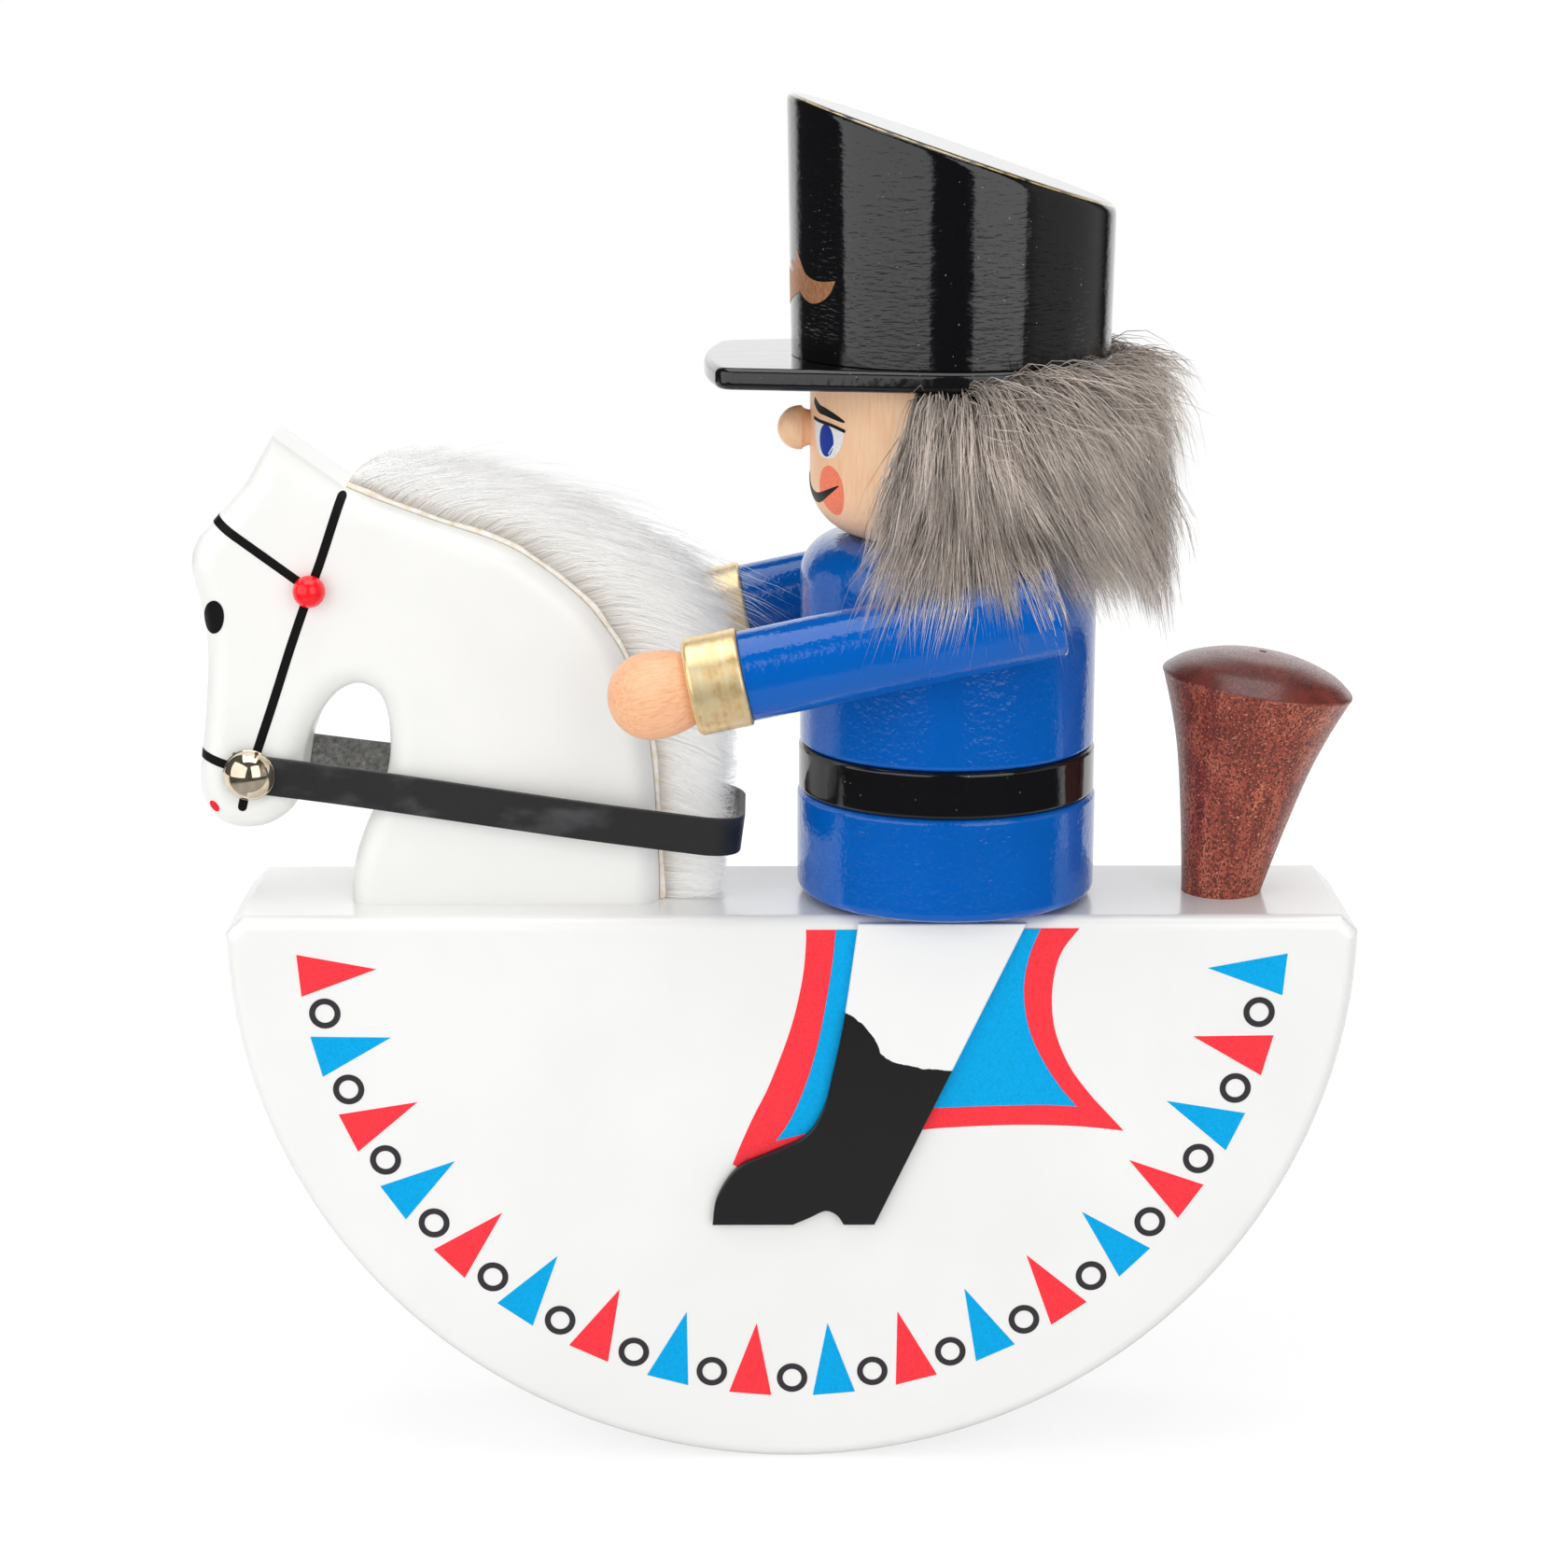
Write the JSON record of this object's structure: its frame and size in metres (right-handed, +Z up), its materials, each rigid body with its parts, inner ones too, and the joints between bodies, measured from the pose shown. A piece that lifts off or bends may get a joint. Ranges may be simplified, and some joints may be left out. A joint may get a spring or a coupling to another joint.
{
  "type": "balancing rider toy",
  "caption": "Painted wooden rider with tall hat astride a rocking horse, standing on a weighted half-disc sole that rolls it back upright",
  "frame": {"origin": "Lowest point of the round sole, in the middle of the board's thickness", "axes": "-X is where horse and rider face, Y runs across the toy, +Z is up"},
  "size_m": [0.1805, 0.0734, 0.2156],
  "materials": {
    "white_lacquer": "white gloss lacquer on wood",
    "leg_paint": "white trousers above a glossy black boot, painted on wood",
    "horse_lacquer": "white satin lacquer with painted bridle, eye and nostril",
    "hide": "raw cream hide edge",
    "white_fur": "long soft white fur",
    "grey_fur": "shaggy grey fur with pale tips",
    "red_bead": "red gloss lacquer",
    "polished_brass": "polished pale brass",
    "black_leather": "smooth black outside, rough grey inside",
    "blue_lacquer": "blue gloss lacquer on turned wood",
    "black_lacquer": "black gloss lacquer on turned wood",
    "face_wood": "clear satin lacquer on pale turned wood, painted face",
    "hand_wood": "satin lacquer on pale turned wood",
    "gold_paint": "brushed gold paint",
    "dark_wood": "dark red-brown stained wood with open pores, satin",
    "raw_wood": "plain beech",
    "steel": "turned steel"
  },
  "bodies": {
    "toy": {"rocker": "white_lacquer", "counterweight": "steel", "weight_plug": "white_lacquer", "leg_left": "leg_paint", "leg_right": "leg_paint", "horse_head": "horse_lacquer", "horse_dowels": "raw_wood", "mane_hide": "hide", "mane_fur": "white_fur", "bridle_beads": "red_bead", "cheek_nails": "polished_brass", "coat_skirt": "blue_lacquer", "belt": "black_lacquer", "coat_body": "blue_lacquer", "coat_dowel": "raw_wood", "neck_dowel": "raw_wood", "head": "face_wood", "nose": "face_wood", "hair_hide": "hide", "hair_fur": "grey_fur", "brim": "black_lacquer", "hat": "black_lacquer", "hat_dowel": "raw_wood", "sleeve_left": "blue_lacquer", "sleeve_right": "blue_lacquer", "cuff_left": "gold_paint", "cuff_right": "gold_paint", "hand_left": "hand_wood", "hand_right": "hand_wood", "arm_dowels": "raw_wood", "tail_knob": "dark_wood"},
    "rein": {"rein": "black_leather"}
  },
  "joints": [
    {"name": "rein_swing", "type": "hinge", "parent": "toy", "child": "rein", "pos_m": [-0.0841, 0, 0.1119], "axis": [0, 1, 0], "range_deg": [-10, 5]}
  ]
}
